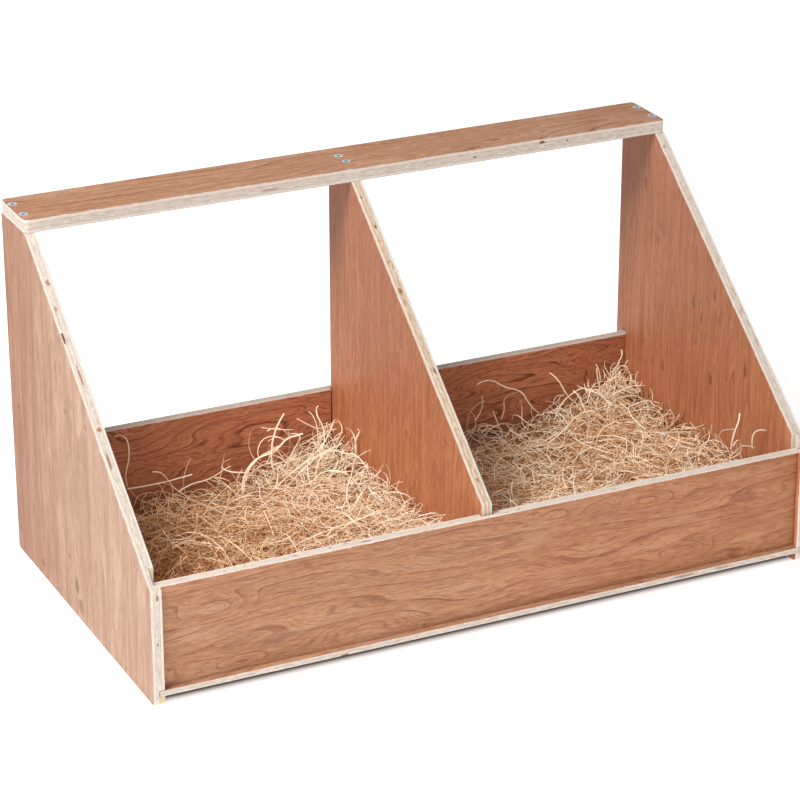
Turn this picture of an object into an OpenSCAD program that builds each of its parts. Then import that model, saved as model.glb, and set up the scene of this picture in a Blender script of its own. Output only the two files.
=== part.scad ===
// Double nesting box: seven grooved plywood panels, six wood screws and two beds of wood wool.
// The front board stands loose in open grooves and lifts out upwards; the rest is one frame.
// X runs along the box, Y from the open front to the back, Z up. The origin is the middle of
// the footprint, at ground level. All sizes are in millimetres.

/* [Overall] */
// Width over the two side panels
box_w = 620; // [420:5:1000]
// Depth of the side panels from front edge to back edge
box_d = 328; // [240:2:480]
// Height of the side panels, to the underside of the top board
side_h = 318; // [220:2:480]
// How far the divider's middle stands to the right of the box's middle
divider_x = -2.5; // [-60:0.5:60]

/* [Side panels and divider] */
// Thickness of the sides, the divider and the two low boards
panel_t = 10; // [9:0.5:15]
// Height of the upright part of a side panel's front edge
front_edge_h = 103; // [60:1:160]
// Radius of the side panels' bottom corners
foot_r = 4; // [1:0.5:6]

/* [Grooves] */
// Depth of every groove
groove_depth = 5; // [3:0.5:6]
// Width of an upright groove less the thickness of the panel in it
groove_play = 2; // [0.8:0.1:3]
// Gap between a panel's face and the groove wall that it leans on
lean_gap = 0.3; // [0.1:0.1:0.4]
// Gap between a panel's end and the bottom of its groove
end_gap = 0.5; // [0.3:0.1:1]

/* [Low boards] */
// Height of the front board and of the back board
low_board_h = 90; // [50:1:140]
// Width of the side panel's lip in front of the front board's groove
front_lip = 5; // [3:0.5:12]
// Width of the side panel's lip behind the back board's groove
back_lip = 5.5; // [3:0.5:12]
// Gap under the front board, where it rests on the floor panel
rest_gap = 0.2; // [0.1:0.1:0.5]

/* [Floor panel] */
// Thickness of the floor panel
floor_t = 5; // [3:0.5:9]
// Height of the floor panel's underside above the ground
floor_raise = 8; // [5:0.5:25]
// Gap above the floor panel in its groove
floor_gap = 0.3; // [0.1:0.1:0.5]

/* [Top board] */
// Depth of the top board, and of the level top of the side panels
top_d = 60; // [48:1:100]
// Thickness of the top board
top_t = 12; // [8:0.5:20]
// Radius of the top board's corners
top_r = 5; // [1:0.5:12]

/* [Screws] */
// Length of a screw
screw_l = 30; // [24:1:40]
// Outer diameter of the thread
screw_d = 4; // [3:0.1:4.5]
// Diameter of the countersunk head
head_d = 8; // [7:0.1:9]
// Distance between the two screws over a side panel
side_screw_gap = 28; // [12:1:34]
// Distance between the two screws over the divider
divider_screw_gap = 16; // [12:1:34]
// Radial gap between a screw and its hole
hole_gap = 0.05; // [0.02:0.01:0.1]

/* [Bedding] */
// Depth of the wood wool in the middle of a nest
bed_h = 45; // [20:1:55]
// How far it rises towards the front board
bed_front_rise = 18; // [0:1:25]
// How far it is heaped up in the back right corner
bed_corner_rise = 15; // [0:1:30]
// How far it is hollowed along the back of the left nest
left_dip = 30; // [0:1:40]
// How far it is hollowed along the back of the right nest
right_dip = 12; // [0:1:40]
// Gap between the bedding and the panels around it
bed_gap = 1; // [0.5:0.5:4]

/* [Hidden] */
$fn = 48;

over = 1;                                     // how far a cutter runs past a face
veneer = [0.76, 0.53, 0.40];
veneer_light = [0.80, 0.60, 0.46];
veneer_dark = [0.62, 0.38, 0.27];
zinc = [0.75, 0.78, 0.80];
straw = [0.87, 0.73, 0.50];

front_y = -box_d / 2;
back_y = box_d / 2;
side_in = box_w / 2 - panel_t;                // inner face of the right side panel
groove_w = panel_t + groove_play;
floor_top = floor_raise + floor_t;
low_board_top = floor_top + low_board_h;
slant_run = box_d - top_d;                    // depth covered by the sloping front edge

// front board: it leans back in its grooves
front_groove_y = front_y + front_lip;
front_back_face = front_groove_y + groove_w - lean_gap;
front_face = front_back_face - panel_t;

// back board: it leans back in its grooves
back_groove_y = back_y - back_lip - groove_w;
back_rear_face = back_y - back_lip - lean_gap;
back_front_face = back_rear_face - panel_t;

board_l = 2 * (side_in + groove_depth - end_gap);
divider_left = divider_x - panel_t / 2;
divider_front = front_back_face - groove_depth + end_gap;
divider_back = back_front_face + groove_depth - end_gap;

// upright outline of a side panel, front edge at the left
module side_outline() {
    difference() {
        polygon([
            [front_y, 0],
            [back_y, 0],
            [back_y, side_h],
            [back_y - top_d, side_h],
            [front_y, front_edge_h]
        ]);
        foot_cutter(front_y, 1);
        foot_cutter(back_y, -1);
    }
}

// what rounds one bottom corner: a square less a quarter circle; dir points into the panel
module foot_cutter(y, dir) {
    difference() {
        translate([y + dir * (foot_r - over) / 2, (foot_r - over) / 2])
            square(foot_r + over, center = true);
        translate([y + dir * foot_r, foot_r]) circle(foot_r);
    }
}

// sets a Y-Z outline upright and makes it t thick, from x
module upright(x, t) {
    translate([x, 0, 0]) rotate([90, 0, 90]) linear_extrude(t) children();
}

// pilot holes in the top edge of a panel whose middle is at x
module pilot_holes(x, gap) {
    for (side = [-1, 1])
        translate([x, back_y - top_d / 2 + side * gap / 2, side_h + top_t - screw_l - over])
            cylinder(r = screw_d / 2 + hole_gap, h = screw_l);
}

// right-hand side panel, grooved on its inner face
module side_panel() {
    difference() {
        upright(side_in, panel_t) side_outline();
        upright(side_in - over, groove_depth + over) {
            translate([front_groove_y, floor_raise]) square([groove_w, side_h]);
            translate([back_groove_y, floor_raise])
                square([groove_w, low_board_top - floor_raise]);
            translate([back_groove_y + groove_w / 2, low_board_top]) circle(d = groove_w);
            translate([front_y - over, floor_raise])
                square([box_d + 2 * over, floor_t + floor_gap]);
        }
        pilot_holes(side_in + panel_t / 2, side_screw_gap);
    }
}

module right_side() { color(veneer) side_panel(); }

module left_side() { color(veneer_light) mirror([1, 0, 0]) side_panel(); }

// middle panel: the side outline cut off upright where it enters the low boards
module divider() {
    color(veneer)
    difference() {
        upright(divider_left, panel_t)
            intersection() {
                side_outline();
                translate([divider_front, floor_top])
                    square([divider_back - divider_front, side_h]);
            }
        pilot_holes(divider_x, divider_screw_gap);
    }
}

module front_board() {
    color(veneer)
    difference() {
        translate([-board_l / 2, front_face, floor_top + rest_gap])
            cube([board_l, panel_t, low_board_h]);
        translate([divider_left - lean_gap, front_back_face - groove_depth, 0])
            cube([groove_w, groove_depth + over, side_h]);
    }
}

module back_board() {
    color(veneer_dark)
    difference() {
        translate([-board_l / 2, back_front_face, floor_top])
            cube([board_l, panel_t, low_board_h]);
        translate([divider_left + panel_t + lean_gap - groove_w, back_front_face - over, 0])
            cube([groove_w, groove_depth + over, side_h]);
    }
}

module floor_panel() {
    color(veneer)
    translate([-board_l / 2, front_y, floor_raise]) cube([board_l, box_d, floor_t]);
}

module top_board() {
    color(veneer_light)
    difference() {
        translate([0, back_y - top_d / 2, side_h])
            linear_extrude(top_t) rounded_rectangle(box_w, top_d, top_r);
        countersinks(-side_in - panel_t / 2, side_screw_gap);
        countersinks(divider_x, divider_screw_gap);
        countersinks(side_in + panel_t / 2, side_screw_gap);
    }
}

module rounded_rectangle(w, d, r) {
    square([w - 2 * r, d], center = true);
    square([w, d - 2 * r], center = true);
    for (sx = [-1, 1], sy = [-1, 1])
        translate([sx * (w / 2 - r), sy * (d / 2 - r)]) circle(r);
}

// two countersunk holes through the top board over the panel whose middle is at x
module countersinks(x, gap) {
    for (side = [-1, 1])
        translate([x, back_y - top_d / 2 + side * gap / 2, side_h + top_t])
            rotate_extrude() polygon([
                [0, over],
                [head_d / 2 + hole_gap, over],
                [head_d / 2 + hole_gap, -head_rim - hole_gap],
                [screw_d / 2 + hole_gap, -head_h - hole_gap],
                [screw_d / 2 + hole_gap, -top_t - over],
                [0, -top_t - over]
            ]);
}

// a countersunk wood screw with its head's top at the origin
head_rim = 0.4;                               // upright rim of the head
head_h = head_rim + (head_d - screw_d) / 2;   // 90 degree cone
thread_pitch = 2;
thread_depth = 0.6;
point_l = 5;                                  // tapered point
thread_turns = floor((screw_l - head_h - point_l) / thread_pitch);
recess_d = 4.4;
recess_arm = 1;
recess_h = 1.8;

module screw() {
    root_r = screw_d / 2 - thread_depth;
    difference() {
        rotate_extrude() polygon(concat(
            [[0, 0], [head_d / 2, 0], [head_d / 2, -head_rim], [root_r, -head_h]],
            [for (i = [0 : thread_turns - 1], tooth = [0, 1])
                [root_r + tooth * thread_depth, -head_h - (i + 0.4 + tooth * 0.4) * thread_pitch]],
            [[root_r, -screw_l + point_l], [0.2, -screw_l], [0, -screw_l]]
        ));
        for (turn = [0, 90])
            rotate([0, 0, turn])
                translate([-recess_d / 2, -recess_arm / 2, -recess_h])
                    cube([recess_d, recess_arm, recess_h + over]);
    }
}

module screw_pair(x, gap) {
    for (side = [-1, 1])
        translate([x, back_y - top_d / 2 + side * gap / 2, side_h + top_t]) screw();
}

module left_side_screws() { color(zinc) screw_pair(-side_in - panel_t / 2, side_screw_gap); }

module divider_screws() { color(zinc) screw_pair(divider_x, divider_screw_gap); }

module right_side_screws() { color(zinc) screw_pair(side_in + panel_t / 2, side_screw_gap); }

// bedding: a heap with a level underside; u runs left to right and v front to back, 0 to 1
bed_steps = 12;

function bed_top(u, v, dip) =
    floor_top + bed_h + bed_front_rise * pow(1 - v, 2)
    + bed_corner_rise * pow(u, 5) * pow(v, 4) - dip * (1 - pow(u, 5)) * pow(v, 4);

module heap(x0, x1, dip) {
    y0 = front_back_face + bed_gap;
    y1 = back_front_face - bed_gap;
    n = bed_steps;
    m = n + 1;
    level = [for (i = [0 : n], j = [0 : n])
        [x0 + (x1 - x0) * i / n, y0 + (y1 - y0) * j / n, floor_top]];
    surface = [for (i = [0 : n], j = [0 : n])
        [x0 + (x1 - x0) * i / n, y0 + (y1 - y0) * j / n, bed_top(i / n, j / n, dip)]];
    under = [for (i = [0 : n - 1], j = [0 : n - 1]) let (a = i * m + j)
        [a, a + m, a + m + 1, a + 1]];
    upper = [for (i = [0 : n - 1], j = [0 : n - 1], half = [0, 1]) let (a = m * m + i * m + j)
        half == 0 ? [a, a + 1, a + m + 1] : [a, a + m + 1, a + m]];
    walls = [for (k = [0 : n - 1], wall = [0 : 3]) let (
            a = wall == 0 ? k : wall == 1 ? n * m + k + 1 : wall == 2 ? (k + 1) * m : k * m + n,
            b = wall == 0 ? k + 1 : wall == 1 ? n * m + k : wall == 2 ? k * m : (k + 1) * m + n)
        [a, b, b + m * m, a + m * m]];
    polyhedron(concat(level, surface), concat(under, upper, walls));
}

module bedding_left() { color(straw) heap(-side_in + bed_gap, divider_left - bed_gap, left_dip); }

module bedding_right() {
    color(straw) heap(divider_left + panel_t + bed_gap, side_in - bed_gap, right_dip);
}

left_side();
right_side();
divider();
front_board();
back_board();
floor_panel();
top_board();
left_side_screws();
divider_screws();
right_side_screws();
bedding_left();
bedding_right();
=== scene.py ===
import math
import random

import bpy
import numpy as np
from mathutils import Matrix, Quaternion, Vector
from mathutils.bvhtree import BVHTree


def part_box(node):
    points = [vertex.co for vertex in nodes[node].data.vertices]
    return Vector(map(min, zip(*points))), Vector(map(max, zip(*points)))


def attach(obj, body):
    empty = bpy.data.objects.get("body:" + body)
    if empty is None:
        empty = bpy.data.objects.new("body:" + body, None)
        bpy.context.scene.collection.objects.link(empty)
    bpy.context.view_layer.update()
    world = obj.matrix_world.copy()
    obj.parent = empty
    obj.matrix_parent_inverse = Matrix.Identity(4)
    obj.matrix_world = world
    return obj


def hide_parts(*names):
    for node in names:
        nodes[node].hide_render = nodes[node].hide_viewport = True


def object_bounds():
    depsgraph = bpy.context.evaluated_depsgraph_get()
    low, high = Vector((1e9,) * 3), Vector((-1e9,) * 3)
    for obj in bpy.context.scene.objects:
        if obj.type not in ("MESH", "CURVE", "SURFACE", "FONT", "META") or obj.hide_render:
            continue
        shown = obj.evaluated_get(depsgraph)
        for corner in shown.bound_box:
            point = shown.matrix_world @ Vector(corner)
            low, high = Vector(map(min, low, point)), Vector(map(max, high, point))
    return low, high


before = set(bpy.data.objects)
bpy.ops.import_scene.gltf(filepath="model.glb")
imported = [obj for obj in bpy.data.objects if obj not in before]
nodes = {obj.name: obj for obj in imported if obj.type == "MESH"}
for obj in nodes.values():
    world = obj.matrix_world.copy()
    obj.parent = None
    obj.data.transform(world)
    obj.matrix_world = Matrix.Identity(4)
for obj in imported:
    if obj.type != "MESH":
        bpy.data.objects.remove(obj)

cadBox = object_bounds()
boxLow, boxHigh = cadBox
boxMiddle = (boxLow + boxHigh) / 2
mm = 0.001
bpy.ops.object.select_all(action="DESELECT")
bpy.context.scene.view_settings.view_transform = "Standard"


# shader helpers

def tone(red, green, blue):  # a display colour, 0 to 255, as a linear one
    return (*[((part / 255 + 0.055) / 1.055) ** 2.4 for part in (red, green, blue)], 1)


class Wire:  # a node's output, so that shader maths reads as plain sums
    def __init__(self, socket):
        self.socket = socket

    def node(self, kind, settings, inputs, output=0):
        tree = self.socket.id_data
        made = tree.nodes.new("ShaderNode" + kind)
        for name, value in settings.items():
            if name == "stops":
                spreadStops(made.color_ramp, value)
            else:
                setattr(made, name, value)
        for key, value in inputs.items():
            if isinstance(value, Wire):
                tree.links.new(value.socket, made.inputs[key])
            else:
                made.inputs[key].default_value = value
        return Wire(made.outputs[output])

    def math(self, operation, first, second=0.0):
        return self.node("Math", {"operation": operation}, {0: first, 1: second})

    def __add__(self, other):
        return self.math("ADD", self, other)

    __radd__ = __add__

    def __sub__(self, other):
        return self.math("SUBTRACT", self, other)

    def __rsub__(self, other):
        return self.math("SUBTRACT", other, self)

    def __mul__(self, other):
        return self.math("MULTIPLY", self, other)

    __rmul__ = __mul__

    def __truediv__(self, other):
        return self.math("DIVIDE", self, other)


def spreadStops(ramp, stops):
    while len(ramp.elements) < len(stops):
        ramp.elements.new(1.0)
    for element, (position, colour) in zip(ramp.elements, stops):
        element.position = position
        element.color = colour


def vectorMath(operation, first, second):
    return first.node("VectorMath", {"operation": operation}, {0: first, 1: second})


def fraction(value):
    return value.math("FRACT", value)


def magnitude(value):
    return value.math("ABSOLUTE", value)


def step(value, low, high):  # 0 up to low, 1 from high on, smooth between
    settings = {"interpolation_type": "SMOOTHSTEP"}
    return value.node("MapRange", settings, {"Value": value, "From Min": low, "From Max": high})


def paint(mask, under, over, blend="MIX"):
    settings = {"data_type": "RGBA", "blend_type": blend}
    return mask.node("Mix", settings, {0: mask, 6: under, 7: over}, 2)


def noise(place, size, detail=2.0, seed=0, roughness=0.5):  # about 0.25 to 0.75; size in mm
    scaled = vectorMath("MULTIPLY", place, tuple(1 / part for part in size))
    moved = vectorMath("ADD", scaled, (seed * 7.3, seed * 3.1, seed * 5.7))
    inputs = {"Vector": moved, "Scale": 1.0, "Detail": detail, "Roughness": roughness}
    return moved.node("TexNoise", {"noise_dimensions": "3D"}, inputs)


def newMaterial(name):  # the material, its shader, and the place on the piece in mm
    material = bpy.data.materials.new(name)
    material.use_nodes = True
    shader = material.node_tree.nodes["Principled BSDF"]
    coordinates = material.node_tree.nodes.new("ShaderNodeTexCoord")
    metres = Wire(coordinates.outputs["Object"])
    return material, shader, metres.node("VectorMath", {"operation": "SCALE"}, {0: metres, "Scale": 1 / mm})


def join(shader, name, wire):
    shader.id_data.links.new(wire.socket, shader.inputs[name])


def wear(node, material):
    mesh = node.data
    mesh.materials.clear()
    mesh.materials.append(material)


# camera, floor and light

camera = {
    "aim": (-0.017, -0.014, -0.0077),  # from the middle of the box
    "azimuth": -25.73,
    "elevation": 23.42,
    "distance": 2.6828,
    "lens": 139.35,
}
studio = {
    "key": {"azimuth": -70, "elevation": 52, "distance": 2.2, "size": 0.8, "power": 50},
    "fill": {"azimuth": -12, "elevation": 18, "distance": 2.4, "size": 1.4, "power": 14},
    "sky": 0.33,
    "floorSize": 40,
    "floorTone": 0.95,
    "glow": 0.62,  # the floor is lit through, as a light table is, up to the box's foot
    # painted contact shadow: the glow fades out between these distances from the box's outline, in metres,
    # inward where negative
    "glowEdge": (-0.014, -0.003),
    # painted shadow: the floor under the box and at its foot, where the glow is off, has this dark tone
    "footShadowTone": 0.15,  # what little is seen of the floor under the box
}


def around(middle, azimuth, elevation, distance):
    turn, rise = math.radians(azimuth), math.radians(elevation)
    away = (math.sin(turn) * math.cos(rise), -math.cos(turn) * math.cos(rise), math.sin(rise))
    return middle + distance * Vector(away)


def facing(place, target):
    return (target - place).to_track_quat("-Z", "Y").to_euler()


def setCamera():
    aim = boxMiddle + Vector(camera["aim"])
    place = around(aim, camera["azimuth"], camera["elevation"], camera["distance"])
    bpy.ops.object.camera_add(location=place, rotation=facing(place, aim))
    view = bpy.context.object
    view.data.sensor_width = 36
    view.data.lens = camera["lens"]
    view.data.clip_end = 100
    bpy.context.scene.camera = view


def hangSoftbox(name):
    spec = studio[name]
    place = around(boxMiddle, spec["azimuth"], spec["elevation"], spec["distance"])
    bpy.ops.object.light_add(type="AREA", location=place, rotation=facing(place, boxMiddle))
    lamp = bpy.context.object
    lamp.name = name + "Softbox"
    lamp.data.size = spec["size"]
    lamp.data.energy = spec["power"]


def setStudio():
    hangSoftbox("key")
    hangSoftbox("fill")
    world = bpy.data.worlds.new("studio")
    world.use_nodes = True
    sky = world.node_tree.nodes["Background"]
    sky.inputs["Color"].default_value = (1, 1, 1, 1)
    sky.inputs["Strength"].default_value = studio["sky"]
    bpy.context.scene.world = world
    bpy.ops.mesh.primitive_plane_add(size=studio["floorSize"])
    ground = bpy.context.object
    ground.name = "lightTable"
    material, shader, place = newMaterial("lightTable")
    shader.inputs["Roughness"].default_value = 0.9
    shader.inputs["Emission Color"].default_value = (1, 1, 1, 1)
    shader.inputs["Emission Strength"].default_value = studio["glow"]
    across, along = (place.node("SeparateXYZ", {}, {0: place}, axis) for axis in "XY")
    beside = magnitude(across) - boxHigh.x / mm
    before = magnitude(along) - boxHigh.y / mm
    outside = beside.math("MAXIMUM", beside, before)
    # painted contact shadow: the glow stops and the floor turns dark at the box's foot
    lit = step(outside, *[edge / mm for edge in studio["glowEdge"]])
    join(shader, "Emission Color", paint(lit, (0, 0, 0, 1), (1, 1, 1, 1)))
    shadow, pale = ((*[studio[name]] * 3, 1) for name in ("footShadowTone", "floorTone"))
    join(shader, "Base Color", paint(lit, shadow, pale))
    wear(ground, material)


setCamera()
setStudio()
print("camera and studio set")


# plywood; every size is in mm, and a texture's size is along, across and through the sheet
grain = {  # what a veneer is made of; seed is added to the board's own
    "drift": {"size": (170, 55, 40), "detail": 1, "seed": 0},
    "tremble": {"size": (20, 8, 20), "detail": 2, "seed": 8},
    "fade": {"size": (48, 12, 30), "detail": 2, "seed": 2, "edge": (0.36, 0.60)},
    "thinFade": {"size": (40, 7, 9), "detail": 2, "seed": 9, "edge": (0.42, 0.60)},
    "fineFade": {"size": (34, 4, 9), "detail": 3, "seed": 10, "edge": (0.36, 0.62), "rough": 0.7},
    "fibre": {"size": (11, 1.1, 3), "detail": 2, "seed": 3, "rough": 0.7},
    "pore": {"size": (8, 0.85, 2), "detail": 2, "seed": 4, "edge": (0.57, 0.66), "rough": 0.6},
    "fleck": {"size": (15, 2.4, 5), "detail": 2, "seed": 5, "edge": (0.65, 0.70)},
    "cloud": {"size": (75, 17, 50), "detail": 3, "seed": 6, "rough": 0.6},
    "streak": {"size": (150, 5, 50), "detail": 3, "seed": 7, "rough": 0.6},
}
ringLines = {  # where a line in a growth ring starts, is full, ends and is gone
    "line": {"rise": (0.80, 0.93), "fall": (0.94, 1.0)},
    "thin": {"count": 2.7, "rise": (0.74, 0.90), "fall": (0.91, 1.0)},
    "fine": {"rise": (0.45, 0.80), "fall": (0.84, 1.0)},
}
cloudEdge = {"bloom": (0.52, 0.66), "shade": (0.46, 0.32)}
grainTone = {"ring": 0.25, "thin": 0.6, "edge": (0.1, 0.9)}  # shares of a ring and of a thin line
grainHeight = {"fibre": 0.7, "pore": -0.5, "line": -0.25}
sawn = {  # what a sawn edge is made of
    "wander": {"size": (26, 26, 8), "detail": 2, "seed": 0, "amount": 0.10},
    "grey": {"size": (14, 14, 1.5), "detail": 3, "seed": 1, "edge": (0.38, 0.60), "amount": 0.55},
    "pale": {"size": (8, 8, 0.9), "detail": 2, "seed": 2, "edge": (0.54, 0.64), "amount": 0.5},
    "streak": {"size": (7, 7, 0.9), "detail": 3, "seed": 3, "edge": (0.54, 0.64)},
    "dot": {"size": (2.6, 2.6, 1.3), "detail": 2, "seed": 4, "edge": (0.66, 0.71), "amount": 0.8},
    "core": {"edge": (0.20, 0.32), "amount": 0.75},  # from the middle of the sheet, as a share
}
rim = {  # small breaks in the veneer along the outline of a board
    "size": (2.6, 2.6, 2.6), "detail": 2, "seed": 50, "edge": (0.53, 0.60),
    "reach": (0.4, 1.2), "amount": 0.8,
}
blot = {  # the uneven outline of a mark
    "size": (1.8, 1.8, 1.8), "detail": 2, "seed": 60, "amount": 1.1, "edge": (0.55, 1.0),
}
outerPly = {"deep": 0.5, "shallow": 0.3, "squareOn": (0.93, 0.97)}  # a face is veneer to this depth
relief = {"strength": 0.5, "distance": 0.2, "edge": (-0.4, 0.8), "dulling": 0.22}
innerSeed, edgeSeed = 20, 40  # added to a board's own seed


def texture(place, spec, seed):
    return noise(place, spec["size"], spec["detail"], seed + spec["seed"], spec.get("rough", 0.5))


def patches(place, spec, seed):  # 1 inside the patches, 0 between them
    return step(texture(place, spec, seed), *spec["edge"])


def lineIn(turn, spec):  # a line across each turn of the growth, from 0 to 1 within it
    return step(turn, *spec["rise"]) * (1 - step(turn, *spec["fall"]))


def spot(place, centre, reach, ragged):  # an uneven blot round one point
    offset = vectorMath("SUBTRACT", place, centre)
    scaled = vectorMath("DIVIDE", offset, reach)
    away = scaled.node("VectorMath", {"operation": "LENGTH"}, {0: scaled}, "Value")
    return 1 - step(away + ragged, *blot["edge"])


def swirl(sheet, centre, reach):  # a hill in the growth rings, cut through as an oval
    offset = vectorMath("SUBTRACT", sheet, (*centre, 0))
    scaled = vectorMath("DIVIDE", offset, (*reach, 1000))  # the same all through the sheet
    away = scaled.node("VectorMath", {"operation": "LENGTH"}, {0: scaled}, "Value")
    return 1 - step(away, 0, 1)


def veneer(sheet, board, seed):  # colour of a face, and how high its grain stands
    along, across, deep = (sheet.node("SeparateXYZ", {}, {0: sheet}, axis) for axis in "XYZ")
    drift = (texture(sheet, grain["drift"], seed) - 0.5) * board["waviness"]
    tremble = (texture(sheet, grain["tremble"], seed) - 0.5) * board["tremble"]
    bent = across + drift + tremble
    figure = (board["figureLength"], board["figureWidth"], board["figureDepth"])
    swell = noise(sheet, figure, 1, seed + 1)
    growth = swell * board["rings"] + bent / board["ringPitch"]
    for centre, reach, height in board["swirls"]:
        growth = growth + swirl(sheet, centre, reach) * height
    lines = sheet.node("CombineXYZ", {}, {0: along, 1: bent, 2: deep})
    ring = fraction(growth)
    line = lineIn(ring, ringLines["line"]) * patches(sheet, grain["fade"], seed)
    thin = lineIn(fraction(growth * ringLines["thin"]["count"]), ringLines["thin"])
    thin = thin * patches(lines, grain["thinFade"], seed)
    fine = lineIn(fraction(growth * board["layers"]), ringLines["fine"])
    fine = fine * patches(lines, grain["fineFade"], seed)
    fibre = texture(lines, grain["fibre"], seed)
    pore = patches(lines, grain["pore"], seed)
    fleck = patches(lines, grain["fleck"], seed)
    cloud = texture(sheet, grain["cloud"], seed)
    streak = texture(lines, grain["streak"], seed)
    depth = (fibre - 0.5) * board["fibre"] + (streak - 0.5) * board["streak"]
    depth = depth + (ring - 0.5) * grainTone["ring"] + 0.5
    colour = paint(step(depth, *grainTone["edge"]), board["light"], board["dark"])
    colour = paint(step(cloud, *cloudEdge["bloom"]) * board["cloud"], colour, board["bloom"])
    colour = paint(step(cloud, *cloudEdge["shade"]) * board["cloud"], colour, board["shade"])
    colour = paint(fine * board["fine"], colour, board["vein"])
    bold = line * board["line"] + thin * board["line"] * grainTone["thin"]
    colour = paint(bold, colour, board["vein"])
    colour = paint(pore * board["pore"], colour, board["vein"])
    colour = paint(fleck * board["fleck"], colour, board["vein"])
    for direction, start, end, tint in board["tints"]:
        reached = step(along if direction == "along" else across, start, end)
        colour = paint(reached, colour, tint, "MULTIPLY")
    height = fibre * grainHeight["fibre"] + pore * grainHeight["pore"] + line * grainHeight["line"]
    return colour, height


def plyEdge(sheet, board, seed):  # colour of a sawn edge or a groove, and its height
    deep = sheet.node("SeparateXYZ", {}, {0: sheet}, "Z")
    wander = (texture(sheet, sawn["wander"], seed) - 0.5) * sawn["wander"]["amount"]
    share = deep / board["thick"] + 0.5 + wander
    plies = share.node("ValToRGB", {"stops": board["plies"]}, {0: share})
    grey = texture(sheet, sawn["grey"], seed)
    pale, streak, dot = (patches(sheet, sawn[name], seed) for name in ("pale", "streak", "dot"))
    core = 1 - step(magnitude(share - 0.5), *sawn["core"]["edge"]) * sawn["core"]["amount"]
    ash = step(grey, *sawn["grey"]["edge"])
    colour = paint(ash * core * sawn["grey"]["amount"], plies, board["ash"])
    colour = paint(pale * sawn["pale"]["amount"], colour, board["pith"])
    colour = paint(streak * core * board["endGrain"], colour, board["ember"])
    colour = paint(dot * core * board["endGrain"] * sawn["dot"]["amount"], colour, board["vein"])
    return colour, grey * 0.5 - streak * core * 0.6


def plywood(name, board):
    material, shader, place = newMaterial(name)
    axes = board["grain"] + board["across"] + board["thickness"]
    along, across, deep = (place.node("SeparateXYZ", {}, {0: place}, axis) for axis in axes)
    deep = deep - board["middle"]
    sheet = place.node("CombineXYZ", {}, {0: along, 1: across, 2: deep})
    faceColour, faceHeight = veneer(sheet, board, board["seed"])
    if "inner" in board:  # the other face has another veneer
        inner = dict(board, **board["inner"])
        innerColour, innerHeight = veneer(sheet, inner, board["seed"] + innerSeed)
        side = step(deep * board["inward"], -0.5, 0.5)  # it changes in the middle of the sheet
        faceColour = paint(side, faceColour, innerColour)
        faceHeight = faceHeight * (1 - side) + innerHeight * side
    edgeColour, edgeHeight = plyEdge(sheet, board, board["seed"] + edgeSeed)
    geometry = Wire(shader.id_data.nodes.new("ShaderNodeNewGeometry").outputs["True Normal"])
    squareOn = magnitude(geometry.node("SeparateXYZ", {}, {0: geometry}, board["thickness"]))
    half = board["thick"] / 2
    skin = step(magnitude(deep), half - outerPly["deep"], half - outerPly["shallow"])
    onFace = step(squareOn, *outerPly["squareOn"]) * skin
    inside = rimDistance(place, board["rims"])
    chipped = patches(place, rim, board["seed"]) * (1 - step(inside, *rim["reach"]))
    colour = paint(onFace * (1 - chipped * rim["amount"]), edgeColour, faceColour)
    ragged = (texture(place, blot, board["seed"]) - 0.5) * blot["amount"]
    for centre, reach, mark, strength in board["marks"]:
        colour = paint(spot(place, centre, reach, ragged) * strength, colour, mark)
    height = faceHeight * onFace + edgeHeight * (1 - onFace)
    join(shader, "Base Color", colour)
    join(shader, "Roughness", step(height, *relief["edge"]) * relief["dulling"] + board["roughness"])
    inputs = {"Strength": relief["strength"], "Distance": relief["distance"] * mm, "Height": height}
    bump = height.node("Bump", {}, inputs)
    join(shader, "Normal", bump)
    return material


def rimDistance(place, rims):  # how far a point lies inside the nearest of these planes
    nearest = None
    for normal, distance in rims:
        reach = place.node("VectorMath", {"operation": "DOT_PRODUCT"}, {0: place, 1: normal}, "Value")
        inside = distance - reach
        nearest = inside if nearest is None else nearest.math("MINIMUM", nearest, inside)
    return nearest


def boardRims(name, thickness):  # the planes of a board's outline, from its box
    low, high = (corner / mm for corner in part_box(name))
    rims = []
    for index, axis in enumerate("XYZ"):
        if axis != thickness:
            normal = [0, 0, 0]
            normal[index] = 1
            rims.append((tuple(normal), high[index]))
            rims.append((tuple(-part for part in normal), -low[index]))
    return rims


def slopeRim():  # the plane of the sloping front edge of the three upright panels
    frontY, uprightZ = boxLow.y / mm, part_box("back_board")[1].z / mm
    topY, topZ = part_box("top_board")[0].y / mm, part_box("top_board")[0].z / mm
    across = Vector((0, -(topZ - uprightZ), topY - frontY)).normalized()
    return (tuple(across), across.dot(Vector((0, frontY, uprightZ))))


fivePly = [
    (0.00, tone(178, 132, 104)),
    (0.05, tone(216, 204, 194)),
    (0.22, tone(214, 202, 191)),
    (0.25, tone(184, 160, 138)),
    (0.29, tone(204, 191, 178)),
    (0.50, tone(208, 195, 182)),
    (0.71, tone(202, 189, 175)),
    (0.75, tone(182, 158, 136)),
    (0.79, tone(216, 204, 194)),
    (0.95, tone(216, 204, 194)),
    (1.00, tone(178, 132, 104)),
]
warmPly = [
    (0.00, tone(178, 132, 104)),
    (0.05, tone(208, 195, 181)),
    (0.24, tone(206, 192, 177)),
    (0.30, tone(176, 144, 114)),
    (0.42, tone(202, 178, 150)),
    (0.58, tone(204, 180, 152)),
    (0.70, tone(178, 148, 118)),
    (0.76, tone(200, 190, 178)),
    (0.95, tone(202, 192, 180)),
    (1.00, tone(178, 132, 104)),
]


def lighten(plies, share):
    return [(position, tuple(min(1, part * share) for part in colour)) for position, colour in plies]


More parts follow.
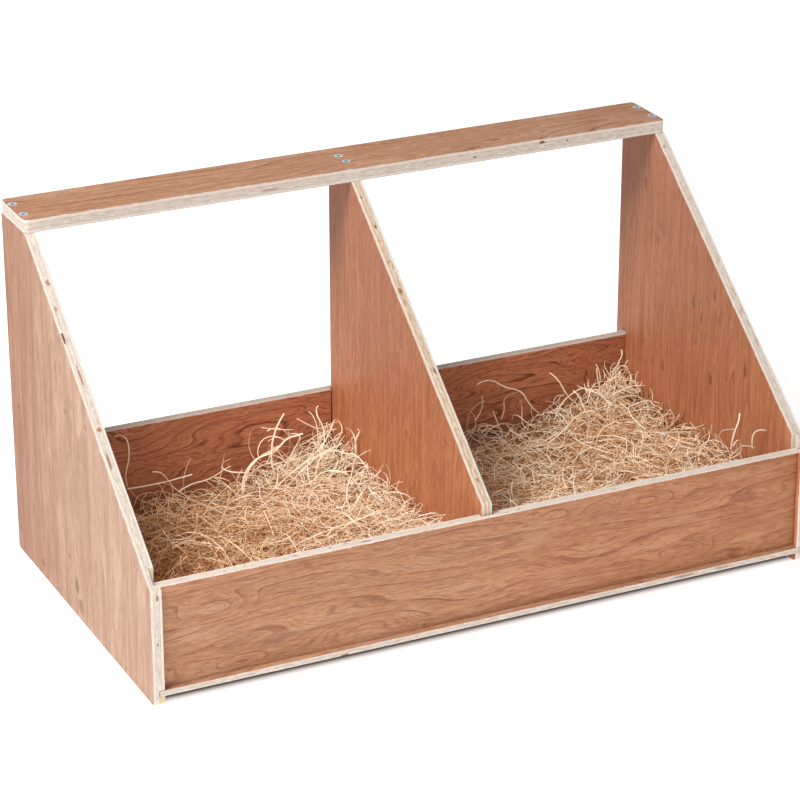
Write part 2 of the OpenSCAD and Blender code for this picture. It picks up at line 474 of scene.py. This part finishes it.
# grain, across and thickness name a board's axes; a swirl is its centre, reach and height; a mark is
# its centre, reach, tone and strength; a tint says which way it runs, where it starts and is full
plainBoard = {
    "grain": "X", "across": "Z", "thickness": "Y", "thick": 10, "roughness": 0.5,
    "waviness": 18, "figureLength": 260, "figureWidth": 50, "figureDepth": 60, "rings": 9, "ringPitch": 15,
    "fibre": 1.7, "streak": 0.7, "cloud": 0.4, "line": 0.6, "pore": 0.5, "fleck": 0.3,
    "layers": 6, "fine": 0.45, "tremble": 2.4,
    "light": tone(190, 144, 112), "dark": tone(160, 108, 76), "bloom": tone(194, 156, 130),
    "shade": tone(158, 114, 88), "vein": tone(122, 66, 40),
    "plies": fivePly, "ash": tone(188, 173, 157), "ember": tone(160, 124, 94), "endGrain": 0.5,
    "pith": tone(228, 219, 209),
    "swirls": [], "marks": [], "tints": [],
}
knot = tone(122, 76, 48)
rot = tone(98, 54, 32)
rust = tone(160, 104, 66)


def finish(name, **changes):
    board = dict(plainBoard, **changes)
    axis = board["thickness"]
    low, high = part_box(name)
    index = "XYZ".index(axis)
    board["middle"] = (low[index] + high[index]) / 2 / mm
    board["thick"] = (high[index] - low[index]) / mm
    rims = boardRims(name, axis)
    board["rims"] = rims + [slopeRim()] if board.get("sloping") else rims
    wear(nodes[name], plywood(name + "Plywood", board))


uprightGrain = {"grain": "Z", "across": "Y", "thickness": "X", "sloping": True}
innerVeneer = {
    "light": tone(205, 134, 93), "dark": tone(176, 105, 67), "bloom": tone(207, 142, 103),
    "shade": tone(166, 103, 72), "vein": tone(120, 60, 38), "fleck": 0.5, "line": 0.3,
    # the tint is painted shade: darker along the grain from 70 to 300 mm, which on the upright panels is the
    # shade under the top board
    "streak": 1.2, "cloud": 0.2, "pore": 0.35, "tints": [("along", 70, 300, (0.70, 0.70, 0.70, 1))],
    "waviness": 14, "figureLength": 320, "rings": 15, "ringPitch": 40, "layers": 7, "fine": 0.14,
}
sideVeneer = {
    "light": tone(182, 148, 123), "dark": tone(152, 113, 87), "bloom": tone(192, 159, 137),
    "shade": tone(155, 115, 91), "vein": tone(136, 88, 64), "figureLength": 420,
    "rings": 14, "ringPitch": 44, "line": 0.25, "streak": 1.3, "waviness": 20, "cloud": 0.6,
    "fibre": 1.2,
    "layers": 7, "fine": 0.18, "tints": [("across", -10, 165, (0.80, 0.62, 0.53, 1))],
}
frontVeneer = {
    "light": tone(180, 130, 95), "dark": tone(149, 96, 62), "bloom": tone(188, 147, 119),
    "shade": tone(148, 103, 78), "vein": tone(114, 56, 32), "fine": 0.46, "tremble": 1.2,
    "layers": 8, "tints": [("along", -150, 300, (1, 0.87, 0.75, 1))],
}
backVeneer = {
    "light": tone(209, 136, 99), "dark": tone(172, 103, 69), "bloom": tone(211, 143, 106),
    "shade": tone(166, 98, 68), "vein": tone(96, 42, 26), "line": 0.75, "ringPitch": 12,
    "waviness": 30, "figureLength": 150, "figureWidth": 34, "layers": 4, "fine": 0.5,
    "cloud": 0.15, "streak": 0.4, "fleck": 0.15, "tints": [("along", 190, 285, (0.86, 0.83, 0.80, 1))],
}
finish("left_side", seed=1, inward=1, inner=innerVeneer, plies=lighten(fivePly, 0.93),
       **uprightGrain, **sideVeneer, marks=[
    ((-305, 65, 287), (2.2, 4, 3.4), rust, 0.9), ((-306, 45, 271), (1.8, 3.6, 3), rust, 0.8),
    ((-308, 23, 253), (1.5, 8, 6.5), rot, 0.95), ((-305, -6, 230), (1.1, 15, 12), knot, 0.75),
    ((-305, -46, 197), (2.4, 3.4, 2.8), rust, 0.95), ((-306, -70, 179), (1.3, 13, 11), knot, 0.8),
    ((-304, -164, 97), (1.4, 2, 3), rot, 0.8), ((-305, -164, 56), (1, 2, 1.6), rot, 0.8),
    ((-302, -164, 5), (4, 3, 5), tone(190, 156, 84), 0.6), ((-310, 22, 188), (1, 5, 3), knot, 0.5),
    ((-310, -26, 192), (1, 5, 3), knot, 0.5), ((-310, 146, 144), (1, 4, 3), knot, 0.8),
    ((-310, 27, 51), (1, 4, 2.5), knot, 0.8), ((-310, 11, 30), (1, 6, 9), tone(116, 88, 50), 0.85),
    ((-310, 3, 14), (1, 8, 9), tone(120, 90, 54), 0.75), ((-310, 98, 14), (1, 5, 4), knot, 0.8),
])
rightInner = dict(innerVeneer, light=tone(198, 130, 91), dark=tone(170, 102, 67))
finish("right_side", seed=2, inward=-1, inner=rightInner, **uprightGrain, **sideVeneer, marks=[
    ((307, -35, 211), (0.8, 7, 6), rust, 0.7), ((307, -47, 200), (0.8, 7, 6), rust, 0.7),
    ((307, -60, 189), (0.8, 7, 6), rust, 0.6), ((307, -74, 177), (0.8, 7, 6), rust, 0.6),
    ((303, 92, 309), (1.6, 2.4, 2), rust, 0.7), ((300, 118, 266), (1, 3, 8), knot, 0.9),
    ((300, 92, 218), (1, 3, 6.5), knot, 0.7), ((300, -11, 200), (1, 3.5, 8), knot, 0.7),
    ((300, 25, 180), (1, 3, 9), knot, 0.8), ((300, 11, 169), (1, 2.6, 6.5), knot, 0.7),
    ((300, -67, 147), (1, 3, 9), knot, 0.8), ((300, 76, 98), (1, 3, 8), knot, 0.6),
    ((300, -9, 117), (1, 3.3, 8), knot, 0.7),
])
# painted shade towards the top, as on the inner faces, and painted light low on the divider, full below 110 mm
dividerLightAndShade = innerVeneer["tints"] + [("along", 170, 110, (1.08, 1.13, 1.13, 1))]
finish("divider", seed=3, **uprightGrain, **dict(innerVeneer, line=0.15, fleck=0.1, tints=dividerLightAndShade),
       plies=warmPly, ash=tone(182, 158, 130), ember=tone(150, 98, 58), marks=[
    ((-4, 91, 307), (1.6, 2, 2), knot, 0.7), ((-2, 66, 288), (1.3, 2.8, 2.4), rot, 0.9),
    ((-3, 38, 265), (1.4, 2, 2), knot, 0.6), ((-3, 14, 246), (2.4, 4.5, 3.8), rust, 0.95),
    ((-2, 14, 246), (1, 2, 1.6), rot, 0.8), ((-3, 5, 238), (1.1, 5, 4.2), rust, 0.7),
    ((-3, -5, 230), (0.9, 5, 4), rust, 0.6), ((-1, -49, 195), (1.2, 4, 3.2), rot, 0.85),
    ((-2, -133, 128), (2, 2.4, 2), rust, 0.8), ((-7.5, -84, 144), (1, 7, 2.6), knot, 0.35),
    ((-7.5, 44, 184), (1, 2.2, 5), knot, 0.25),
])
frontEdges = {"plies": lighten(fivePly, 1.1), "ash": tone(214, 204, 194), "endGrain": 0.3}
finish("front_board", seed=4, inward=1, inner=innerVeneer, **frontVeneer, **frontEdges, swirls=[
    ((-250, 74), (52, 17), 2.6), ((-232, 20), (36, 9), 1.6), ((150, 88), (48, 14), 2.4),
    ((186, 30), (46, 14), 2.4), ((60, 90), (42, 11), 1.6),
], marks=[
    ((-241, -153, 103), (1.6, 1, 1), rust, 0.8), ((-223, -151, 103), (2, 1, 1), rust, 0.7),
    ((-179, -152, 103), (4, 1.4, 1), rot, 0.6), ((-147, -151, 103), (2, 1, 1), rot, 0.8),
    ((-132, -150, 103), (2.4, 1, 1), rot, 0.7), ((-115, -153, 103), (8, 1, 1), rot, 0.85),
    ((8, -150, 103), (3, 1.2, 1), rot, 0.6), ((16, -154, 103), (1.5, 0.9, 1), rot, 0.8),
    ((27, -153, 103), (1.7, 0.9, 1), rot, 0.8), ((-63, -157, 16), (3, 1, 2.4), knot, 0.7),
    ((119, -157, 34), (3, 1, 2), knot, 0.6), ((-169, -157, 94), (6, 1, 3), tone(140, 62, 40), 0.4),
    ((-288, -157, 22), (2.4, 1, 7), knot, 0.5), ((-11, -157, 76), (3, 1, 2), knot, 0.3),
])
finish("back_board", seed=8, inward=-1, inner=backVeneer)
finish("floor_panel", seed=6, across="Y", thickness="Z", plies=lighten(fivePly, 0.82), marks=[
    ((-140, -164, 8), (5, 2, 2), rot, 0.8), ((186, -164, 11), (14, 2, 1.6), rot, 0.5),
    ((225, -164, 11), (12, 2, 1.4), rot, 0.4),
])
finish("top_board", seed=7, across="Y", thickness="Z", plies=lighten(fivePly, 0.88),
       tints=[("along", -250, 0, (1.07, 1.1, 1.15, 1))], marks=[
    ((-85, 104, 323), (10, 2, 0.9), rot, 0.6), ((114, 104, 323), (2.4, 2, 1.2), knot, 0.8),
    ((182, 104, 327), (3.4, 2, 1.5), rot, 1.0), ((208, 104, 325), (1.6, 2, 1.2), rot, 0.9),
])
print("plywood finished")


# arrises: the sheets are sawn, so their edges are broken by less than half a millimetre
arris = {"width": 0.4, "segments": 2, "angle": 35, "weld": 0.02, "flat": 1}  # in mm and degrees
panels = ("left_side", "right_side", "divider", "front_board", "back_board", "floor_panel", "top_board")


def easeEdges(node):
    weld = node.modifiers.new("weld", "WELD")
    weld.merge_threshold = arris["weld"] * mm
    flat = node.modifiers.new("flat", "DECIMATE")
    flat.decimate_type = "DISSOLVE"
    flat.angle_limit = math.radians(arris["flat"])
    ease = node.modifiers.new("ease", "BEVEL")
    ease.width = arris["width"] * mm
    ease.segments = arris["segments"]
    ease.limit_method = "ANGLE"
    ease.angle_limit = math.radians(arris["angle"])
    ease.use_clamp_overlap = False


for name in panels:
    easeEdges(nodes[name])
print("edges eased")


# screws
plating = {
    # the darkest tone is painted shade for the recess and the rim
    "bright": tone(240, 248, 254), "dull": tone(190, 206, 220), "recessShade": tone(52, 60, 70),
    "grain": 1.2, "metallic": 0.4, "roughness": 0.22, "dulling": 0.2,
    "strength": 0.3, "distance": 0.1,
}


def zincPlate():
    material, shader, place = newMaterial("zincPlate")
    dull = noise(place, [plating["grain"]] * 3, 3, 9)
    colour = paint(step(dull, 0.35, 0.65), plating["bright"], plating["dull"])
    geometry = Wire(shader.id_data.nodes.new("ShaderNodeNewGeometry").outputs["True Normal"])
    upright = magnitude(geometry.node("SeparateXYZ", {}, {0: geometry}, "Z"))
    # painted shade: faces that don't face up, in the recess and round the rim, are dark
    recessShade = 1 - step(upright, 0.5, 0.9)  # in the recess and round the rim
    join(shader, "Base Color", paint(recessShade, colour, plating["recessShade"]))
    shader.inputs["Metallic"].default_value = plating["metallic"]
    join(shader, "Roughness", step(dull, 0.3, 0.7) * plating["dulling"] + plating["roughness"])
    inputs = {"Strength": plating["strength"], "Distance": plating["distance"] * mm, "Height": dull}
    bump = dull.node("Bump", {}, inputs)
    join(shader, "Normal", bump)
    return material


zinc = zincPlate()
for name in ("left_side_screws", "divider_screws", "right_side_screws"):
    wear(nodes[name], zinc)
print("screws finished")


# wood wool: shavings spun round a few centres each, then laid over a matted heap; sizes in mm

# sag sinks the loose wool towards the back, and lower all of it; paleness is at the left and the right, and the
# left nest's darker left end is painted shadow of the left side
nests = {
    "Left": {
        "bedding": "bedding_left", "walls": ("left_side", "divider"), "seed": 11, "sag": 14,
        "lower": 1, "paleness": (0.46, 1.12),
    },
    "Right": {
        "bedding": "bedding_right", "walls": ("divider", "right_side"), "seed": 12, "sag": 18,
        "lower": 3, "paleness": (0.92, 0.9),
    },
}
shavings = {  # shapes to make, arcs in each, steps in an arc, radius in mm, turn in degrees
    "lazy": {"shapes": 20, "arcs": 4, "steps": 4, "radius": (18, 50), "turn": (28, 78), "twist": 14},
    "wavy": {"shapes": 26, "arcs": 4, "steps": 5, "radius": (8, 22), "turn": (45, 120), "twist": 22},
    "curly": {"shapes": 14, "arcs": 3, "steps": 6, "radius": (3.5, 9), "turn": (60, 170), "twist": 35},
    "loopy": {"shapes": 12, "arcs": 3, "steps": 7, "radius": (7, 16), "turn": (80, 190), "twist": 20},
}
shaving = {  # it is three-sided, and section is its radius as a share of its width
    "width": (0.5, 1.0), "thickness": (0.3, 0.5), "section": 0.58, "curlsBack": 0.35, "roughness": 0.6,
    "seed": 5,
}
stray = {"flatness": 0.75, "sway": 0.5, "swayStep": 0.35, "swayRate": 7, "stepTurn": 16, "stepLength": 5}
shavingTones = [
    (0.0, tone(162, 100, 53)),
    (0.35, tone(213, 153, 99)),
    (0.65, tone(246, 206, 162)),
    (1.0, tone(255, 241, 216)),
]
# a shaving's shade differs from the next one's, in patches along it, and by how deep it is buried, which is
# painted shade
paleness = {"spread": 0.1, "patches": 0.4, "patchSize": 7, "buried": 0.85, "stray": (0.75, 1.0)}
laying = {  # copies in each nest, height over the heap in mm, and how steeply they lie
    "lazy": {"copies": 1400, "height": (-22, -2), "tilt": 6},
    "wavy": {"copies": 2600, "height": (-20, -2), "tilt": 11},
    "curly": {"copies": 600, "height": (-14, 0), "tilt": 30},
}
packing = {
    "bundle": 60,  # shavings joined at a time, which is quicker than all at once
    "layers": 4,  # pieces that the wool of a nest is joined into
    "inset": 1.0,  # how far inside the bedding's outline the shavings are laid
    "clearance": 0.6,  # between the wool and the boards round it
    "give": 1.5,  # how softly the boards press it back
    "looseFrom": -3,  # kinds of shaving that start above this height aren't buried in the heap
    "tuftTilt": 40,
    "roll": 3,  # how much more a shaving rolls than it tilts
}
# the heap's gap and strand tones are painted shade, dark as the deep wool seen between the shavings
mat = {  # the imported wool; it is sunk this far below the bedding's own surface
    "sink": 16.0, "voxel": 4, "lumpSize": 30, "lumpHeight": 10, "weld": 0.05,
    "gap": tone(120, 78, 44), "strand": tone(190, 144, 100), "roughness": 0.9, "depth": 2,
    "runs": [
        {"size": (1.2, 9, 1.2), "detail": 3, "seed": 3},
        {"size": (9, 1.2, 1.2), "detail": 3, "seed": 4},
        {"size": (5, 5, 1.0), "detail": 3, "seed": 5},
    ],
}
strays = {  # loose ends that stand over the heap: start, first slope, width, and arcs of radius and turn
    "Left": [
        ((-219, 125, 57), 108, 1.0, [(25, -45), (40, 30), (8, 85), (20, 20)]),
        ((-223, 115, 60), -4, 1.1, [(250, 14)]),
        ((-201, 110, 74), -2, 0.9, [(14, -50), (60, -12), (45, 24), (60, -10)]),
        ((-160, 120, 75), -125, 0.8, [(50, 15), (25, 45), (60, -5)]),
        ((-179, 100, 55), 32, 1.0, [(28, -40), (60, 22), (50, -20)]),
        ((-125, 85, 48), 100, 1.5, [(24, -80), (30, -22), (26, 45), (16, -42), (40, 12)]),
        ((-121, 92, 46), 92, 1.2, [(28, -70), (40, -15), (60, 12)]),
        ((-95, 85, 46), 38, 1.5, [(180, -12), (35, -28), (30, 10)]),
        ((-88, 80, 44), 48, 1.3, [(120, -22), (40, -20), (30, 20)]),
        ((-91, 90, 57), 110, 1.4, [(48, -72)]),
        ((-103, 95, 72), 125, 0.9, [(12, -110), (14, -75), (4, 130), (20, -10)]),
        ((-56, 120, 94), -38, 1.0, [(200, 6), (12, 42), (70, -12), (60, -14), (80, 4)]),
        ((-21, 115, 60), 80, 1.1, [(18, -40), (10, 60), (6, 95), (9, 60), (20, 20)]),
        ((-12, 90, 38), 84, 1.4, [(90, 14), (90, -10), (10, -110), (30, 10)]),
        ((-16, 84, 36), 96, 1.3, [(70, -22), (40, 25), (12, 70)]),
        ((-81, 90, 56), 78, 1.0, [(60, -32), (4, 120), (10, 30)]),
        ((-10, 60, 54), 10, 1.0, [(20, 10), (4, -190), (20, -20)]),
        ((-14, 30, 50), 40, 1.1, [(60, 20)]),
        ((-14, 20, 48), 70, 1.0, [(5, -130), (30, -20)]),
        ((-90, 20, 56), 85, 1.5, [(60, -8), (3.5, -150), (15, -20)]),
        ((-79, 20, 54), 82, 1.4, [(50, -8), (4, -140), (15, -25)]),
        ((-96, 110, 97), -20, 0.8, [(150, 12)]),
        ((-57, 100, 60), 42, 1.0, [(60, 38)]),
        ((-14, -20, 56), -30, 0.9, [(14, 45), (60, 8)]),
        ((-40, 95, 52), 120, 1.1, [(20, -60), (30, 50), (12, -80)]),
        ((-60, 70, 50), 100, 1.2, [(30, -45), (14, -90), (20, 40)]),
    ],
    "Right": [
        ((188, 110, 57), 142, 1.1, [(45, -30), (14, 60), (30, -30), (16, 60), (60, 5)]),
        ((120, 110, 62), 45, 0.9, [(22, 55), (40, 10)]),
        ((232, 100, 58), 155, 1.2, [(45, -45), (30, 35)]),
        ((264, 130, 60), 108, 1.2, [(70, -18)]),
        ((252, 125, 56), 150, 1.0, [(12, -50), (40, -8)]),
        ((199, 100, 52), 78, 1.2, [(26, -60), (70, -14)]),
        ((207, 30, 57), 0, 1.5, [(80, -18), (45, -26), (60, -8)]),
        ((179, 20, 52), 35, 1.2, [(16, 75), (35, 32)]),
        ((210, 40, 50), 88, 1.1, [(14, -80), (60, -12)]),
        ((280, 140, 62), 60, 1.2, [(30, -30), (6, -110)]),
        ((286, 138, 64), 100, 1.0, [(20, -60), (8, 60)]),
        ((272, 136, 60), 40, 1.1, [(15, 70), (12, -60)]),
        ((289, 130, 60), 95, 0.9, [(30, 30), (9, 70)]),
        ((260, -100, 92), 100, 1.2, [(25, 30), (7, -120), (15, -25)]),
        ((268, -100, 90), 88, 1.4, [(40, -32), (25, 25)]),
        ((288, -104, 88), 102, 1.1, [(30, -20), (8, -90), (6, -60)]),
        ((278, -100, 92), 80, 1.1, [(5, 150), (30, 5)]),
        ((276, -102, 92), -6, 1.1, [(40, -25)]),
        ((150, 115, 56), 60, 0.9, [(20, 50), (12, -70), (30, 15)]),
        ((170, 60, 50), 20, 1.3, [(40, 40), (30, -50)]),
        ((230, 70, 54), 150, 1.2, [(35, -50), (20, 40)]),
    ],
}
tufts = {  # where wool stands up loosely: middle, spread, copies, and height over the heap
    "Left": [
        ((-60, 108), (40, 22), 66, (0, 22)), ((-170, 112), (40, 18), 14, (2, 18)),
        ((-34, 10), (20, 50), 24, (0, 10)),
    ],
    "Right": [
        ((280, 126), (12, 14), 40, (-2, 14)), ((225, 112), (50, 20), 34, (0, 16)),
        ((262, -50), (22, 40), 26, (2, 12)), ((100, 112), (60, 20), 14, (2, 18)),
    ],
}
springy = {  # the topmost shavings, which stand off the heap a little
    "lazy": {"copies": 120, "height": (0, 4), "tilt": 10},
    "wavy": {"copies": 230, "height": (0, 6), "tilt": 18},
    "curly": {"copies": 120, "height": (0, 6), "tilt": 45},
}


def spinArc(tip, heading, flat, radius, turn, tilt, steps):
    bend = Quaternion(heading, tilt) @ flat
    centre = tip + bend * radius
    axis = heading.cross(bend)
    bpy.ops.mesh.spin(steps=steps, angle=-turn, center=centre, axis=axis)
    swing = Quaternion(axis, turn)
    return centre + swing @ (tip - centre), swing @ heading, swing @ flat


def startShaving(name, width, thickness):  # its section, which the arcs then draw out
    radius = shaving["section"] * width * mm
    bpy.ops.mesh.primitive_circle_add(vertices=3, radius=radius, fill_type="NGON")
    bpy.context.object.name = name
    bpy.ops.object.mode_set(mode="EDIT")
    bpy.ops.transform.resize(value=(1, thickness / width, 1))
    return Vector(), Vector((0, 0, 1)), Vector((0, 1, 0))


def endShaving():
    bpy.ops.mesh.select_all(action="SELECT")
    bpy.ops.mesh.normals_make_consistent(inside=False)
    bpy.ops.object.mode_set(mode="OBJECT")
    return bpy.context.object


def spinShaving(name, kind, chance):
    width, thickness = chance.uniform(*shaving["width"]), chance.uniform(*shaving["thickness"])
    tip, heading, flat = startShaving(name, width, thickness)
    side = chance.choice((0, math.pi))
    for arc in range(kind["arcs"]):
        radius = chance.uniform(*kind["radius"]) * mm
        turn = math.radians(chance.uniform(*kind["turn"]))
        if chance.random() < shaving["curlsBack"]:  # now and then it curls the other way
            side = math.pi - side
        tilt = side + math.radians(chance.gauss(0, kind["twist"]))
        tip, heading, flat = spinArc(tip, heading, flat, radius, turn, tilt, kind["steps"])
    shape = endShaving()
    layFlat(shape.data)
    return shape


def spinStray(start, slope, width, arcs):  # it curls in an upright plane, and leaves it a little
    tip, heading, flat = startShaving("stray", width * stray["flatness"], width)
    reached = 0
    for radius, turn in arcs:
        reached += stray["swayStep"]
        tilt = (0 if turn > 0 else math.pi) + stray["sway"] * math.sin(reached * stray["swayRate"])
        angle = math.radians(abs(turn))
        byTurn, byLength = abs(turn) / stray["stepTurn"], radius * angle / stray["stepLength"]
        steps = max(2, math.ceil(byTurn), math.ceil(byLength))
        tip, heading, flat = spinArc(tip, heading, flat, radius * mm, angle, tilt, steps)
    piece = endShaving()
    rise = math.radians(slope)
    ahead = Vector((math.cos(rise), 0, math.sin(rise)))
    left = Vector((-math.sin(rise), 0, math.cos(rise)))
    turned = Matrix((left.cross(ahead), left, ahead)).transposed().to_4x4()
    piece.data.transform(Matrix.Translation(Vector(start) * mm) @ turned)
    return piece


def layFlat(mesh):  # its longest way along X and its flattest way up
    places = np.empty(len(mesh.vertices) * 3)
    mesh.vertices.foreach_get("co", places)
    places = places.reshape(-1, 3)
    middle = places.mean(axis=0)
    axes = np.linalg.eigh(np.cov((places - middle).T))[1]
    rows = [axes[:, 2], axes[:, 1], np.cross(axes[:, 2], axes[:, 1])]
    mesh.transform(Matrix([list(row) for row in rows]).to_4x4() @ Matrix.Translation(-Vector(middle)))


def layOn(heap, spot, height, spin, tilt, roll):  # where a shaving lies on the heap
    place, normal, face, distance = heap.ray_cast(Vector((spot[0], spot[1], boxHigh.z)), Vector((0, 0, -1)))
    upright = Vector((0, 0, 1)).rotation_difference(normal).to_matrix().to_4x4()
    turned = Matrix.Rotation(spin, 4, "Z") @ Matrix.Rotation(tilt, 4, "Y") @ Matrix.Rotation(roll, 4, "X")
    return Matrix.Translation(place + normal * height) @ upright @ turned


def copyShaving(shape, matrix, shade):
    piece = shape.copy()
    piece.data = shape.data.copy()
    piece.data.transform(matrix)
    bpy.context.scene.collection.objects.link(piece)
    return dye(piece, shade)


def dye(piece, shade):
    shades = piece.data.attributes.new("shade", "FLOAT", "FACE")
    shades.data.foreach_set("value", [shade] * len(piece.data.polygons))
    return piece


def joinAll(pieces):
    with bpy.context.temp_override(active_object=pieces[0], selected_editable_objects=pieces):
        bpy.ops.object.join()
    return pieces[0]


def keepInside(piece, low, high):  # the boards press the wool back
    places = np.empty(len(piece.data.vertices) * 3)
    piece.data.vertices.foreach_get("co", places)
    places = places.reshape(-1, 3)
    soft = packing["give"] * mm
    for axis in range(3):
        line = places[:, axis]
        floor = low[axis] + soft
        line = np.where(line < floor, low[axis] + soft * np.exp((line - floor) / soft), line)
        if high[axis] is not None:
            roof = high[axis] - soft
            line = np.where(line > roof, high[axis] - soft * np.exp((roof - line) / soft), line)
        places[:, axis] = line
    piece.data.vertices.foreach_set("co", places.ravel())
    piece.data.update()


def nestRoom(nest):  # the open space between the boards
    leftWall, rightWall = nest["walls"]
    gap = packing["clearance"] * mm
    low = (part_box(leftWall)[1].x + gap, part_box("front_board")[1].y + gap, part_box("floor_panel")[1].z + gap)
    high = (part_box(rightWall)[0].x - gap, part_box("back_board")[0].y - gap, None)
    return low, high


def matHeap(name, nest):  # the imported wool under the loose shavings
    source = nodes[nest["bedding"]]
    heap = source.copy()
    heap.data = source.data.copy()
    heap.name = name
    bpy.context.scene.collection.objects.link(heap)
    bpy.ops.object.select_all(action="DESELECT")
    heap.select_set(True)
    bpy.context.view_layer.objects.active = heap
    bpy.ops.object.mode_set(mode="EDIT")
    bpy.ops.mesh.select_all(action="SELECT")
    bpy.ops.mesh.remove_doubles(threshold=mat["weld"] * mm)
    bpy.ops.object.mode_set(mode="OBJECT")
    remesh = heap.modifiers.new("even", "REMESH")
    remesh.mode = "VOXEL"
    remesh.voxel_size = mat["voxel"] * mm
    bpy.ops.object.modifier_apply(modifier="even")
    clouds = bpy.data.textures.new(name, "CLOUDS")
    clouds.noise_scale = mat["lumpSize"] * mm
    lumps = heap.modifiers.new("lumps", "DISPLACE")
    lumps.texture = clouds
    lumps.texture_coords = "LOCAL"
    lumps.strength = mat["lumpHeight"] * mm
    lumps.mid_level = 0.5 + mat["sink"] / mat["lumpHeight"]
    bpy.ops.object.modifier_apply(modifier="lumps")
    bpy.ops.object.shade_smooth()
    return heap


def matMaterial():
    material, shader, place = newMaterial("mattedWool")
    deepway, sideway, level = (texture(place, run, 0) for run in mat["runs"])
    strands = deepway.math("MAXIMUM", deepway, sideway)
    strands = strands.math("MAXIMUM", strands, level)
    light = step(strands, 0.50, 0.72)
    # painted shade: dark gaps between lighter strands
    join(shader, "Base Color", paint(light, mat["gap"], mat["strand"]))
    shader.inputs["Roughness"].default_value = mat["roughness"]
    bump = strands.node("Bump", {}, {"Strength": 1.0, "Distance": mat["depth"] * mm, "Height": strands})
    join(shader, "Normal", bump)
    return material


def shavingMaterial():
    material, shader, place = newMaterial("shavings")
    attribute = material.node_tree.nodes.new("ShaderNodeAttribute")
    attribute.attribute_name = "shade"
    shade = Wire(attribute.outputs["Fac"])
    patch = noise(place, [paleness["patchSize"]] * 3, 2, 6)
    shade = shade + (patch - 0.5) * paleness["patches"]
    join(shader, "Base Color", shade.node("ValToRGB", {"stops": shavingTones}, {0: shade}))
    shader.inputs["Roughness"].default_value = shaving["roughness"]
    return material


def layShaving(heap, room, nest, kind, shape, chance):
    low, high = room
    lean = kind["tilt"]
    spin, tilt, roll = chance.uniform(0, 360), chance.gauss(0, lean), chance.gauss(0, lean * packing["roll"])
    spin, tilt, roll = (math.radians(angle) for angle in (spin, tilt, roll))
    length, width = shape.dimensions.x / 2, shape.dimensions.y / 2
    wide = abs(math.cos(spin)) * length + abs(math.sin(spin)) * width
    deep = abs(math.sin(spin)) * length + abs(math.cos(spin)) * width
    if "middle" in kind:
        x, y = (chance.gauss(*place) * mm for place in zip(kind["middle"], kind["spread"]))
    else:
        x, y = chance.uniform(low.x, high.x), chance.uniform(low.y, high.y)
    spot = (min(max(x, low.x + wide), high.x - wide), min(max(y, low.y + deep), high.y - deep))
    height = chance.uniform(*kind["height"])
    rear = (spot[1] - low.y) / (high.y - low.y)
    side = (spot[0] - low.x) / (high.x - low.x)
    drop = nest["sag"] * rear * (1 - side ** 4) + nest["lower"]
    matrix = layOn(heap, spot, (height - drop) * mm, spin, tilt, roll)
    bottom, top = kind["height"]
    # painted shade: the deeper a shaving lies in the heap, the darker it is coloured
    buried = (top - height) / (top - bottom) if bottom < packing["looseFrom"] else 0
    # painted shadow: in the left nest the shavings are darker towards the left side
    atLeft, atRight = nest["paleness"]
    shade = chance.gauss(atLeft + (atRight - atLeft) * side, paleness["spread"])
    return copyShaving(shape, matrix, shade - paleness["buried"] * buried ** 0.5)


def layShavings(side, nest, shapes, chance):
    bedding = nodes[nest["bedding"]].data
    heap = BVHTree.FromPolygons([point.co for point in bedding.vertices],
                                [face.vertices[:] for face in bedding.polygons])
    low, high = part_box(nest["bedding"])
    inset = Vector((packing["inset"] * mm, packing["inset"] * mm, 0))
    room = (low + inset, high - inset)
    plan = [(kind, name) for name, kind in laying.items() for count in range(kind["copies"])]
    plan += [(kind, name) for name, kind in springy.items() for count in range(kind["copies"])]
    for middle, spread, copies, height in tufts[side]:
        tuft = {"height": height, "tilt": packing["tuftTilt"], "middle": middle, "spread": spread}
        plan += [(tuft, chance.choice(("wavy", "loopy", "curly"))) for count in range(copies)]
    chance.shuffle(plan)
    bundles = []
    for start in range(0, len(plan), packing["bundle"]):
        bundle = [layShaving(heap, room, nest, kind, chance.choice(shapes[name]), chance)
                  for kind, name in plan[start:start + packing["bundle"]]]
        bundles.append(joinAll(bundle))
    print("laid", len(plan), "shavings")
    return bundles


def makeShapes():
    chance = random.Random(shaving["seed"])
    shapes = {}
    for name, kind in shavings.items():
        shapes[name] = [spinShaving(name + "Shaving", kind, chance) for count in range(kind["shapes"])]
    return shapes


def fillNest(side, nest, shapes, heapFinish, shavingFinish):
    heap = matHeap("heap" + side, nest)
    wear(heap, heapFinish)
    chance = random.Random(nest["seed"])
    bundles = layShavings(side, nest, shapes, chance)
    loose = [dye(spinStray(*ends), chance.uniform(*paleness["stray"])) for ends in strays[side]]
    bundles.append(joinAll(loose))
    share = math.ceil(len(bundles) / packing["layers"])
    layers = [joinAll(bundles[start:start + share]) for start in range(0, len(bundles), share)]
    low, high = nestRoom(nest)
    for number, layer in enumerate(layers):
        layer.name = layer.data.name = f"wool{side}{number + 1}"
        keepInside(layer, low, high)
        wear(layer, shavingFinish)
    for piece in [heap, *layers]:
        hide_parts(nest["bedding"])
        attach(piece, "frame")
    print("nest filled:", side)


shapes = makeShapes()
heapFinish, shavingFinish = matMaterial(), shavingMaterial()
for side, nest in nests.items():
    fillNest(side, nest, shapes, heapFinish, shavingFinish)
for kind in shapes.values():
    for shape in kind:
        bpy.data.objects.remove(shape)
